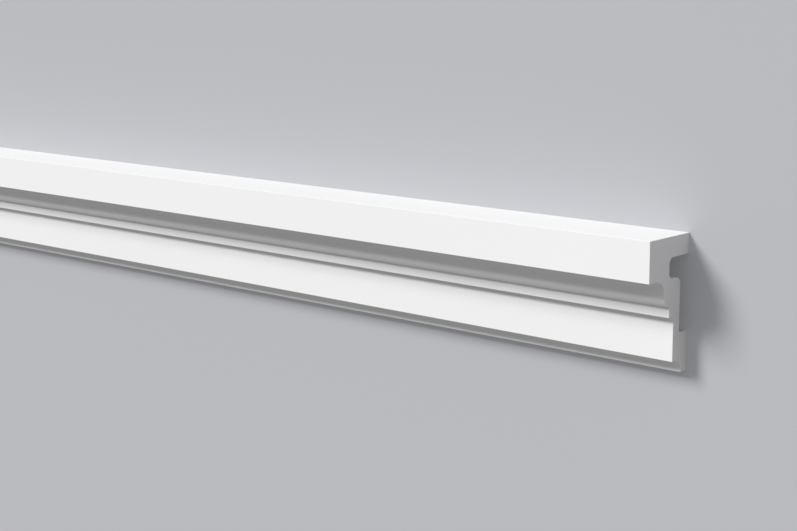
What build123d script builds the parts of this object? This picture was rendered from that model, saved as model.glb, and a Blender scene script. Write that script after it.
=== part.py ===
# A straight length of extruded wall moulding, lying on its back.
# X runs along the length, Y points to the top edge, Z points out from the wall side.

import os

from build123d import *

# Length of stock, in millimetres
length = 2000.0

# Face of the section, from the top edge down
bar_height = 24.0
hollow_radius = 8.0
frieze_height = 2.5
ovolo_radius = 5.5
fillet_height = 6.4
band_height = 26.1
foot_height = 7.5

# Steps of the section, from the wall side out to the front
foot_thickness = 6.0
foot_step = 8.7
foot_cove_radius = 6.0
band_step = 4.5
band_cove_radius = 2.2
soffit_width = 7.3
bar_arris_radius = 0.2

# Back of the section, from the top edge down
upper_strip_height = 12.0
channel_height = 12.2
channel_depth = 19.9
channel_corner_radius = 3.6
recess_height = 32.2
recess_depth = 8.4
recess_corner_radius = 1.6
recess_nose_radius = 3.6

# Levels across the face, measured along Y from the middle of the height
face_height = (
    bar_height + hollow_radius + frieze_height + ovolo_radius + fillet_height + band_height + foot_height
)
top_edge = face_height / 2
soffit_level = top_edge - bar_height
frieze_top = soffit_level - hollow_radius
ovolo_top = frieze_top - frieze_height
fillet_top = ovolo_top - ovolo_radius
fillet_bottom = fillet_top - fillet_height
band_bottom = fillet_bottom - band_height
bottom_edge = band_bottom - foot_height

# Distances from the wall side, measured along Z
band_face = foot_thickness + foot_step
fillet_face = band_face + band_step
frieze_face = fillet_face + ovolo_radius
hollow_start = frieze_face + hollow_radius
bar_face = hollow_start + soffit_width

# Levels on the back
channel_top = top_edge - upper_strip_height
channel_bottom = channel_top - channel_height
recess_bottom = channel_bottom - recess_height

# Directions along the outline, as (Y, Z)
towards_wall = (0, -1)
away_from_wall = (0, 1)
downwards = (-1, 0)
upwards = (1, 0)

with BuildPart() as moulding:
    with BuildSketch(Plane.YZ) as section:
        with BuildLine() as outline:
            # Square bar with a flat soffit, and the hollow below it
            Polyline(
                (top_edge, 0),
                (top_edge, bar_face),
                (soffit_level, bar_face),
                (soffit_level, hollow_start),
            )
            TangentArc((soffit_level, hollow_start), (frieze_top, frieze_face), tangent=towards_wall)

            # Short frieze that rolls over into an ovolo
            Line((frieze_top, frieze_face), (ovolo_top, frieze_face))
            TangentArc((ovolo_top, frieze_face), (fillet_top, fillet_face), tangent=downwards)

            # Narrow fillet, undercut by a small cove
            Polyline(
                (fillet_top, fillet_face),
                (fillet_bottom, fillet_face),
                (fillet_bottom, band_face + band_cove_radius),
            )
            TangentArc(
                (fillet_bottom, band_face + band_cove_radius),
                (fillet_bottom - band_cove_radius, band_face),
                tangent=towards_wall,
            )

            # Flat band, undercut by a larger cove down to the thin foot
            Polyline(
                (fillet_bottom - band_cove_radius, band_face),
                (band_bottom, band_face),
                (band_bottom, foot_thickness + foot_cove_radius),
            )
            TangentArc(
                (band_bottom, foot_thickness + foot_cove_radius),
                (band_bottom - foot_cove_radius, foot_thickness),
                tangent=towards_wall,
            )

            # Bottom edge, lower strip that meets the wall, and the side of the shallow recess
            Polyline(
                (band_bottom - foot_cove_radius, foot_thickness),
                (bottom_edge, foot_thickness),
                (bottom_edge, 0),
                (recess_bottom, 0),
                (recess_bottom, recess_depth - recess_corner_radius),
            )
            TangentArc(
                (recess_bottom, recess_depth - recess_corner_radius),
                (recess_bottom + recess_corner_radius, recess_depth),
                tangent=away_from_wall,
            )

            # Floor of the shallow recess, with a rounded nose into the deep cable channel
            Line(
                (recess_bottom + recess_corner_radius, recess_depth),
                (channel_bottom - recess_nose_radius, recess_depth),
            )
            TangentArc(
                (channel_bottom - recess_nose_radius, recess_depth),
                (channel_bottom, recess_depth + recess_nose_radius),
                tangent=upwards,
            )

            # Deep cable channel with rounded inner corners
            Line(
                (channel_bottom, recess_depth + recess_nose_radius),
                (channel_bottom, channel_depth - channel_corner_radius),
            )
            TangentArc(
                (channel_bottom, channel_depth - channel_corner_radius),
                (channel_bottom + channel_corner_radius, channel_depth),
                tangent=away_from_wall,
            )
            Line(
                (channel_bottom + channel_corner_radius, channel_depth),
                (channel_top - channel_corner_radius, channel_depth),
            )
            TangentArc(
                (channel_top - channel_corner_radius, channel_depth),
                (channel_top, channel_depth - channel_corner_radius),
                tangent=upwards,
            )

            # Upper strip that meets the wall
            Polyline(
                (channel_top, channel_depth - channel_corner_radius),
                (channel_top, 0),
                (top_edge, 0),
            )
        make_face()
    extrude(amount=length / 2, both=True)

    # Eased arrises along the front of the bar
    bar_arrises = moulding.edges().filter_by(Axis.X).group_by(Axis.Z)[-1]
    fillet(bar_arrises, radius=bar_arris_radius)

moulding.part.label = "wall_moulding"

os.makedirs("parts", exist_ok=True)
export_step(moulding.part, "parts/wall_moulding.step")
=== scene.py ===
import math

import bpy
import numpy as np
from mathutils import Matrix, Vector


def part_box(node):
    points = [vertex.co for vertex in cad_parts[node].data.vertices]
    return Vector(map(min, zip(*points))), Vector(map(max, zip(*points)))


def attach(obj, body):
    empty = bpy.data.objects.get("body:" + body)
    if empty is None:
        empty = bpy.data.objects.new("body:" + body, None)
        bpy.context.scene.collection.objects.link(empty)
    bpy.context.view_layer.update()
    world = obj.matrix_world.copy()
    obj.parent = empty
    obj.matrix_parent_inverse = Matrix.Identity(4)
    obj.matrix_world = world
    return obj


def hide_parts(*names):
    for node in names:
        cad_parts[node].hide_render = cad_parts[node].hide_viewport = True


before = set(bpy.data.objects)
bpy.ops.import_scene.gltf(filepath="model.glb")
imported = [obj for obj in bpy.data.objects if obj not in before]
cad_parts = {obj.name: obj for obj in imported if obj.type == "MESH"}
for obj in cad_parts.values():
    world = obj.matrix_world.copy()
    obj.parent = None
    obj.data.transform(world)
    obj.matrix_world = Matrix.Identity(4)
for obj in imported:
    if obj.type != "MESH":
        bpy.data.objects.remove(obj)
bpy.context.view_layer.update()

# A straight length of white wall moulding, lying on its back.
# X runs along the length, Y points to the top edge, Z points out from the wall side.

# The node that the mesh stands for, the flat map that the finishes are baked on, and a millimetre in metres
NODE = "wall_moulding"
BAKE_MAP = "OFBake"
MM = 0.001

lowest, highest = (np.array(corner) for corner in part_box(NODE))
face_height, projection = (highest - lowest)[1:]

# Section of the moulding in millimetres, from the top edge down and from the wall side out
bar_height = 24.0
hollow_radius = 8.0
frieze_height = 2.5
ovolo_radius = 5.5
fillet_height = 6.4
band_height = 26.1
foot_thickness = 6.0
foot_step = 8.7
foot_cove_radius = 6.0
band_step = 4.5
band_cove_radius = 2.2
upper_strip_height = 12.0
channel_height = 12.2
channel_depth = 19.9
channel_corner_radius = 3.6
recess_height = 32.2
recess_depth = 8.4
recess_corner_radius = 1.6
recess_nose_radius = 3.6

# Small roundings, and what the saw cuts through at the ends, in millimetres
bar_arris = 0.2
fine_arris = 0.2
ovolo_crease = 0.2
least_radius = 0.02
cut_edge = 0.2
skin_depth = 0.6

# Divisions of the mesh: arcs up to the arris limit keep one step in each stride
arc_steps = 16
arris_stride = 4
arris_limit = 0.5
stations = 81

# Order of the finishes on the piece, and the rows of its faces that lie at the cut ends
FRONT, BACK, END = range(3)
cut_rows = [0, 1, -2, -1]


def section_corners():
    """Corners of the square-cornered section, in order round it as seen from +X.

    Each row is (Y, Z, radius) in metres. Y counts from the middle of the height, Z from the wall side,
    and each corner is later rounded by a quarter circle of its radius.
    """
    top_edge = face_height / MM / 2
    soffit = top_edge - bar_height
    fillet_top = soffit - hollow_radius - frieze_height - ovolo_radius
    fillet_bottom = fillet_top - fillet_height
    band_bottom = fillet_bottom - band_height
    bottom_edge = -top_edge
    bar_face = projection / MM
    band_face = foot_thickness + foot_step
    fillet_face = band_face + band_step
    frieze_face = fillet_face + ovolo_radius
    channel_top = top_edge - upper_strip_height
    channel_bottom = channel_top - channel_height
    recess_bottom = channel_bottom - recess_height
    front = [
        (top_edge, 0.0, fine_arris),
        (top_edge, bar_face, bar_arris),
        (soffit, bar_face, bar_arris),
        (soffit, frieze_face, hollow_radius),
        (fillet_top, frieze_face, ovolo_radius - ovolo_crease),
        (fillet_top, fillet_face, ovolo_crease),
        (fillet_bottom, fillet_face, fine_arris),
        (fillet_bottom, band_face, band_cove_radius),
        (band_bottom, band_face, fine_arris),
        (band_bottom, foot_thickness, foot_cove_radius),
        (bottom_edge, foot_thickness, fine_arris),
    ]
    back = [
        (bottom_edge, 0.0, fine_arris),
        (recess_bottom, 0.0, fine_arris),
        (recess_bottom, recess_depth, recess_corner_radius),
        (channel_bottom, recess_depth, recess_nose_radius),
        (channel_bottom, channel_depth, channel_corner_radius),
        (channel_top, channel_depth, channel_corner_radius),
        (channel_top, 0.0, fine_arris),
    ]
    return np.array(front + back) * MM, len(front)


def corner_directions(corners):
    """Unit directions along the outline, into each corner and out of it."""
    step_in = corners[:, :2] - np.roll(corners[:, :2], 1, axis=0)
    into = step_in / np.linalg.norm(step_in, axis=1, keepdims=True)
    return into, np.roll(into, -1, axis=0)


def right_of(direction):
    """A direction along the outline turned a quarter turn to the right, which points out of the section."""
    return np.stack([direction[..., 1], -direction[..., 0]], axis=-1)


def inset_corners(corners, depth):
    """The section's corners drawn in by a depth.

    A corner moves against the outward normals of both sides that meet there. A convex rounding, where the
    outline turns left, loses the depth from its radius, and a hollow one gains it.
    """
    into, out = corner_directions(corners)
    left_turn = into[:, 0] * out[:, 1] - into[:, 1] * out[:, 0]
    inset = corners.copy()
    inset[:, :2] -= depth * (right_of(into) + right_of(out))
    inset[:, 2] = np.maximum(corners[:, 2] - depth * left_turn, least_radius * MM)
    return inset


def rounded_section(corners, kept):
    """Outline points and outward normals of the section with its corners rounded.

    With a the unit direction into a corner c and b the one out of it, its quarter circle of radius r is
    c - r (1 - sin t) a + r (1 - cos t) b, for t from 0 to a right angle. The tangent is cos t a + sin t b,
    and the outward normal is to its right. Of each corner's points, those marked as kept are returned.
    """
    into, out = (direction[:, None] for direction in corner_directions(corners))
    place, radius = corners[:, None, :2], corners[:, None, 2:]
    angle = np.linspace(0.0, math.pi / 2, arc_steps + 1)[None, :, None]
    points = place - radius * (1 - np.sin(angle)) * into + radius * (1 - np.cos(angle)) * out
    tangent = np.cos(angle) * into + np.sin(angle) * out
    return points[kept], right_of(tangent)[kept]


def quad_corners(grid):
    """The four corners of each quad between neighbouring rows and columns of a grid of points."""
    return np.stack([grid[:-1, :-1], grid[:-1, 1:], grid[1:, 1:], grid[1:, :-1]], axis=2)


def flat_map(rings):
    """Places in a unit square for the corners of every face, so that the finishes can be baked there.

    The sides are unrolled into one sheet: across it goes the running length round the section, and up it
    goes X. Above the sheet the two cut ends lie side by side, laid out by Y and Z as seen from outside. Each
    ring's first point comes again at its end, where the sheet closes. The sheet's edges fall a little past
    the middle of a pixel of a map 1024 pixels high, so that no unbaked pixel shows at its seams.
    """
    sheet_low, sheet_high = 0.00516, 0.69016
    ends_low = 0.7
    closed = np.concatenate([rings, rings[:, :1]], axis=1)
    along, up, out = np.moveaxis((closed - lowest) / (highest - lowest), -1, 0)
    steps = np.linalg.norm(np.diff(closed[len(closed) // 2], axis=0), axis=1)
    around = np.append(0.0, np.cumsum(steps)) / steps.sum()
    sheet_up = sheet_low + (sheet_high - sheet_low) * along
    sheet = np.stack([np.broadcast_to(around, along.shape), sheet_up], axis=-1)
    low_half = along < along.mean()
    ends_across = np.where(low_half, 1.0 - up, 1.0 + up) / 2
    ends = np.stack([ends_across, ends_low + (1.0 - ends_low) * out], axis=-1)
    places = quad_corners(sheet)
    places[cut_rows] = quad_corners(ends)[cut_rows]
    return np.concatenate([places.reshape(-1, 2), ends[0, -2::-1], ends[-1, :-1]])


def moulding_length():
    """The section carried straight along X, closed at both cut ends.

    A ring of points is (x, outline drawn in by a depth). The depth is zero along the length. At each end it
    is the small cut edge, which the normals round off, and then the skin's depth too, on the flat of the
    cut. Where two arcs meet with no straight between them, their shared point is kept once. The attribute
    "skin" is 1 at the outside of the cut and falls to 0 across the skin.
    """
    corners, front_count = section_corners()
    steps = np.arange(arc_steps + 1)
    kept = (corners[:, 2:] > arris_limit * MM) | (steps % arris_stride == 0)
    side = np.linalg.norm(corners[:, :2] - np.roll(corners[:, :2], 1, axis=0), axis=1)
    straight = side - corners[:, 2] - np.roll(corners[:, 2], 1)
    kept[straight < least_radius * MM, 0] = False
    depths = np.array([0.0, cut_edge, cut_edge + skin_depth]) * MM
    sections = [rounded_section(inset_corners(corners, depth), kept) for depth in depths]
    outlines = np.stack([outline for outline, normals in sections])
    side_normals = sections[0][1]
    count = len(side_normals)

    # Rings from the low end to the high one, and which of the three outlines each of them has
    first, last = lowest[0], highest[0]
    inner = np.linspace(first + depths[1], last - depths[1], stations)
    along = np.concatenate([[first, first], inner, [last, last]])
    outline_of = np.concatenate([[2, 1], np.zeros(stations, dtype=int), [1, 2]])
    points = np.empty((len(along), count, 3))
    points[..., 0] = along[:, None]
    points[..., 1:] = outlines[outline_of]
    normals = np.zeros_like(points)
    normals[..., 1:] = side_normals
    normals[:2] = (-1.0, 0.0, 0.0)
    normals[-2:] = (1.0, 0.0, 0.0)

    # Quads between neighbouring rings, then one face inside each end's skin
    this = np.arange(count)
    after = (this + 1) % count
    base = np.arange(len(along) - 1)[:, None] * count
    quads = np.stack([base + this, base + after, base + count + after, base + count + this], axis=-1)
    faces = quads.reshape(-1, 4).tolist()
    faces.append(this[::-1].tolist())
    faces.append((this + (len(along) - 1) * count).tolist())

    mesh = bpy.data.meshes.new("moulding_length")
    mesh.from_pydata(points.reshape(-1, 3).tolist(), [], faces)
    mesh.shade_smooth()
    mesh.normals_split_custom_set_from_vertices(normals.reshape(-1, 3).tolist())
    skin = np.repeat(outline_of < 2, count).astype(np.float32)
    mesh.attributes.new("skin", "FLOAT", "POINT").data.foreach_set("value", skin)
    places = flat_map(points).astype(np.float32)
    mesh.uv_layers.new(name=BAKE_MAP).uv.foreach_set("vector", places.ravel())

    # Which finish each face has
    corner_of = np.repeat(np.arange(len(corners)), kept.sum(axis=1))
    finish = np.tile(np.where(corner_of < front_count, FRONT, BACK), (len(along) - 1, 1))
    finish[cut_rows] = END
    finish = np.append(finish.ravel(), [END, END]).astype(np.int32)
    mesh.polygons.foreach_set("material_index", finish)
    piece = bpy.data.objects.new("moulding_length", mesh)
    bpy.context.scene.collection.objects.link(piece)
    return piece


def new_group(name, inputs, outputs):
    """An empty shader node group: a Vector input, the named number inputs and the named value outputs."""
    group = bpy.data.node_groups.new(name, "ShaderNodeTree")
    group.interface.new_socket(name="Vector", in_out="INPUT", socket_type="NodeSocketVector")
    for label in inputs:
        group.interface.new_socket(name=label, in_out="INPUT", socket_type="NodeSocketFloat")
    for label in outputs:
        group.interface.new_socket(name=label, in_out="OUTPUT", socket_type="NodeSocketFloat")
    return group, group.nodes.new("NodeGroupInput"), group.nodes.new("NodeGroupOutput")


def drawn_lines_group():
    """Faint lines that the die leaves along the length: noise read at places squeezed along X."""
    squeeze_along = 0.004
    fine_octaves = 3.0
    octave_weight = 0.6
    group, start, end = new_group("drawn_lines", ["Lines per Metre"], ["Lines"])
    stretch = group.nodes.new("ShaderNodeVectorMath")
    stretch.operation = "MULTIPLY"
    stretch.inputs[1].default_value = (squeeze_along, 1.0, 1.0)
    noise = group.nodes.new("ShaderNodeTexNoise")
    noise.inputs["Detail"].default_value = fine_octaves
    noise.inputs["Roughness"].default_value = octave_weight
    link = group.links.new
    link(start.outputs["Vector"], stretch.inputs[0])
    link(stretch.outputs["Vector"], noise.inputs["Vector"])
    link(start.outputs["Lines per Metre"], noise.inputs["Scale"])
    link(noise.outputs["Fac"], end.inputs["Lines"])
    return group


def fine_grain_group():
    """Even grain of a coat or a foam, and a slow change of tone: two noises, each at its own scale."""
    octaves = {"Grain": 2.0, "Tone": 4.0}
    scales = {"Grain": "Grains per Metre", "Tone": "Patches per Metre"}
    group, start, end = new_group("fine_grain", scales.values(), scales.keys())
    link = group.links.new
    for label, scale in scales.items():
        noise = group.nodes.new("ShaderNodeTexNoise")
        noise.inputs["Detail"].default_value = octaves[label]
        link(start.outputs["Vector"], noise.inputs["Vector"])
        link(start.outputs[scale], noise.inputs["Scale"])
        link(noise.outputs["Fac"], end.inputs[label])
    return group


class Finish:
    """A material being wired: its node tree, its Principled shader and a few short ways to add nodes."""

    noise_low, noise_high = 0.3, 0.7

    def __init__(self, name, specular_level):
        self.material = bpy.data.materials.new(name)
        self.material.use_nodes = True
        self.tree = self.material.node_tree
        self.shader = self.tree.nodes["Principled BSDF"]
        self.shader.inputs["Specular IOR Level"].default_value = specular_level
        self.place = self.tree.nodes.new("ShaderNodeTexCoord").outputs["Object"]

    def link(self, source, target):
        self.tree.links.new(source, target)

    def group(self, group, **values):
        """Places a shared group, fed with Object coordinates and this finish's own values."""
        node = self.tree.nodes.new("ShaderNodeGroup")
        node.node_tree = group
        self.link(self.place, node.inputs["Vector"])
        for label, value in values.items():
            node.inputs[label.replace("_", " ")].default_value = value
        return node.outputs

    def vector(self, operation, vector, constant):
        """A Vector Math node of a vector and a constant one."""
        node = self.tree.nodes.new("ShaderNodeVectorMath")
        node.operation = operation
        self.link(vector, node.inputs[0])
        node.inputs[1].default_value = constant
        return node.outputs

    def spread(self, noise, low, high):
        """A noise value's usual range spread over [low, high], and held there."""
        node = self.tree.nodes.new("ShaderNodeMapRange")
        node.inputs["From Min"].default_value = self.noise_low
        node.inputs["From Max"].default_value = self.noise_high
        node.inputs["To Min"].default_value = low
        node.inputs["To Max"].default_value = high
        self.link(noise, node.inputs["Value"])
        return node.outputs["Result"]

    def mix(self, first, second, share):
        """A value that goes from the first to the second as the share goes from 0 to 1."""
        node = self.tree.nodes.new("ShaderNodeMix")
        for label, value in (("A", first), ("B", second), ("Factor", share)):
            if isinstance(value, float):
                node.inputs[label].default_value = value
            else:
                self.link(value, node.inputs[label])
        return node.outputs["Result"]

    def colour(self, mask, dark, light):
        """Base colour between two tones by a mask from 0 to 1."""
        node = self.tree.nodes.new("ShaderNodeMix")
        node.data_type = "RGBA"
        node.inputs["A"].default_value = (*dark, 1.0)
        node.inputs["B"].default_value = (*light, 1.0)
        self.link(mask, node.inputs["Factor"])
        self.link(node.outputs["Result"], self.shader.inputs["Base Color"])

    def roughness(self, noise, low, high):
        self.link(self.spread(noise, low, high), self.shader.inputs["Roughness"])

    def relief(self, height, depth):
        """Bump of a height from 0 to 1, as deep as the depth in millimetres."""
        node = self.tree.nodes.new("ShaderNodeBump")
        node.inputs["Distance"].default_value = depth * MM
        node.inputs["Strength"].default_value = 1.0
        self.link(height, node.inputs["Height"])
        self.link(node.outputs["Normal"], self.shader.inputs["Normal"])


def primed_front(lines, grain):
    """White factory primer on the face: matte, with a fine orange peel over the faint lines of the die."""
    finish = Finish("primed_front", specular_level=0.3)
    drawn = finish.group(lines, Lines_per_Metre=700.0)["Lines"]
    coat = finish.group(grain, Grains_per_Metre=900.0, Patches_per_Metre=9.0)
    mask = finish.spread(finish.mix(coat["Tone"], drawn, share=0.35), 0.0, 1.0)
    finish.colour(mask, dark=(0.85, 0.85, 0.849), light=(0.87, 0.87, 0.869))
    finish.roughness(coat["Grain"], low=0.62, high=0.74)
    finish.relief(finish.mix(coat["Grain"], drawn, share=0.4), depth=0.03)
    return finish.material


def raw_back(lines, grain):
    """Bare extruded skin on the wall side: a little smoother and warmer, with clearer drawn lines."""
    finish = Finish("raw_back", specular_level=0.4)
    drawn = finish.group(lines, Lines_per_Metre=420.0)["Lines"]
    skin = finish.group(grain, Grains_per_Metre=700.0, Patches_per_Metre=12.0)
    mask = finish.spread(finish.mix(skin["Tone"], drawn, share=0.5), 0.0, 1.0)
    finish.colour(mask, dark=(0.79, 0.79, 0.775), light=(0.85, 0.85, 0.838))
    finish.roughness(drawn, low=0.42, high=0.58)
    finish.relief(finish.mix(skin["Grain"], drawn, share=0.7), depth=0.05)
    return finish.material


def sawn_end(grain):
    """Cut end: fine foam cells and the arcs of the saw, inside a denser skin that is smoother and lighter.

    The arcs are noise read along the distance from the saw's axis, which lies in front of the face.
    """
    saw_axis = (0.0, 0.02, 0.165)
    across_the_cut = (0.0, 1.0, 1.0)
    arcs_per_metre = 900.0
    skin_tone = 1.0
    skin_level = 0.5
    finish = Finish("sawn_end", specular_level=0.25)
    on_the_cut = finish.vector("MULTIPLY", finish.place, across_the_cut)["Vector"]
    distance = finish.vector("DISTANCE", on_the_cut, saw_axis)["Value"]
    arcs = finish.tree.nodes.new("ShaderNodeTexNoise")
    arcs.noise_dimensions = "1D"
    arcs.inputs["Scale"].default_value = arcs_per_metre
    finish.link(distance, arcs.inputs["W"])
    cells = finish.group(grain, Grains_per_Metre=3000.0, Patches_per_Metre=60.0)
    attribute = finish.tree.nodes.new("ShaderNodeAttribute")
    attribute.attribute_name = "skin"
    skin = attribute.outputs["Fac"]
    foam = finish.spread(finish.mix(cells["Grain"], arcs.outputs["Fac"], share=0.45), 0.0, 1.0)
    mask = finish.mix(foam, skin_tone, share=skin)
    finish.colour(mask, dark=(0.81, 0.81, 0.805), light=(0.87, 0.87, 0.868))
    finish.roughness(cells["Tone"], low=0.72, high=0.84)
    finish.relief(finish.mix(foam, skin_level, share=skin), depth=0.05)
    return finish.material


def pale_floor():
    """Plain pale floor under the part, one square wide enough for every view.

    Where it is seen, it has a little light of its own, so that the shadows on it stay pale. That light
    doesn't reach the part.
    """
    half_side = 150.0
    pale_grey = (0.379, 0.383, 0.403, 1.0)
    own_light = (0.097, 0.098, 0.103, 1.0)
    matte = 0.9
    faint_gloss = 0.2
    sign = np.array([(-1.0, -1.0), (1.0, -1.0), (1.0, 1.0), (-1.0, 1.0)])
    points = np.column_stack([sign * half_side, np.full(len(sign), lowest[2])])
    mesh = bpy.data.meshes.new("floor")
    mesh.from_pydata(points.tolist(), [], [tuple(range(len(sign)))])
    material = bpy.data.materials.new("pale_floor")
    material.use_nodes = True
    tree = material.node_tree
    shader = tree.nodes["Principled BSDF"]
    shader.inputs["Base Color"].default_value = pale_grey
    shader.inputs["Roughness"].default_value = matte
    shader.inputs["Specular IOR Level"].default_value = faint_gloss
    shader.inputs["Emission Color"].default_value = own_light

    # Its own light shows to the camera, and in gloss and glass
    rays = tree.nodes.new("ShaderNodeLightPath")
    seen = rays.outputs["Is Camera Ray"]
    for label in ("Is Glossy Ray", "Is Transmission Ray"):
        either = tree.nodes.new("ShaderNodeMath")
        either.operation = "MAXIMUM"
        tree.links.new(seen, either.inputs[0])
        tree.links.new(rays.outputs[label], either.inputs[1])
        seen = either.outputs["Value"]
    tree.links.new(seen, shader.inputs["Emission Strength"])
    mesh.materials.append(material)
    floor = bpy.data.objects.new("floor", mesh)
    bpy.context.scene.collection.objects.link(floor)


def studio_light():
    """A broad soft key from the upper left, a weak fill from the upper right and even light all round.

    Each lamp is the way towards it, its strength and the angle that it spreads over in degrees.
    """
    lamps = {
        "soft_key": ((-0.450, 0.616, 0.647), 3.36, 20.0),
        "wide_fill": ((0.54, 0.75, 0.38), 0.40, 60.0),
    }
    surround_strength = 0.28
    for name, (towards, strength, spread) in lamps.items():
        data = bpy.data.lights.new(name, "SUN")
        data.energy = strength
        data.angle = math.radians(spread)
        lamp = bpy.data.objects.new(name, data)
        lamp.rotation_euler = Vector(towards).to_track_quat("Z", "Y").to_euler()
        bpy.context.scene.collection.objects.link(lamp)
    world = bpy.data.worlds.new("even_light")
    world.use_nodes = True
    background = world.node_tree.nodes["Background"]
    background.inputs["Color"].default_value = (1.0, 1.0, 1.0, 1.0)
    background.inputs["Strength"].default_value = surround_strength
    bpy.context.scene.world = world


def photo_camera():
    """Camera at the photograph's viewing angle: beyond the near end and above the face, top edge up."""
    position = Vector((1.4816, 0.1921, 0.7788))
    aim = Vector((0.7971, -0.0009, 0.02))
    roll = math.radians(-0.34)
    top_edge_way = Vector((0.0, 1.0, 0.0))
    forward = (aim - position).normalized()
    level_right = forward.cross(top_edge_way).normalized()
    level_up = level_right.cross(forward)
    right = math.cos(roll) * level_right + math.sin(roll) * level_up
    up = right.cross(forward)
    data = bpy.data.cameras.new("camera")
    data.sensor_width = 36.0
    data.lens = 73.29
    data.clip_start = 0.01
    data.clip_end = 200.0
    camera = bpy.data.objects.new("camera", data)
    turn = Matrix((right, up, -forward)).transposed().to_4x4()
    camera.matrix_world = Matrix.Translation(position) @ turn
    bpy.context.scene.collection.objects.link(camera)
    bpy.context.scene.camera = camera


moulding = moulding_length()
drawn_lines = drawn_lines_group()
fine_grain = fine_grain_group()
moulding.data.materials.append(primed_front(drawn_lines, fine_grain))
moulding.data.materials.append(raw_back(drawn_lines, fine_grain))
moulding.data.materials.append(sawn_end(fine_grain))
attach(moulding, "root")
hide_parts(NODE)

pale_floor()
studio_light()
photo_camera()
bpy.context.scene.view_settings.view_transform = "Standard"
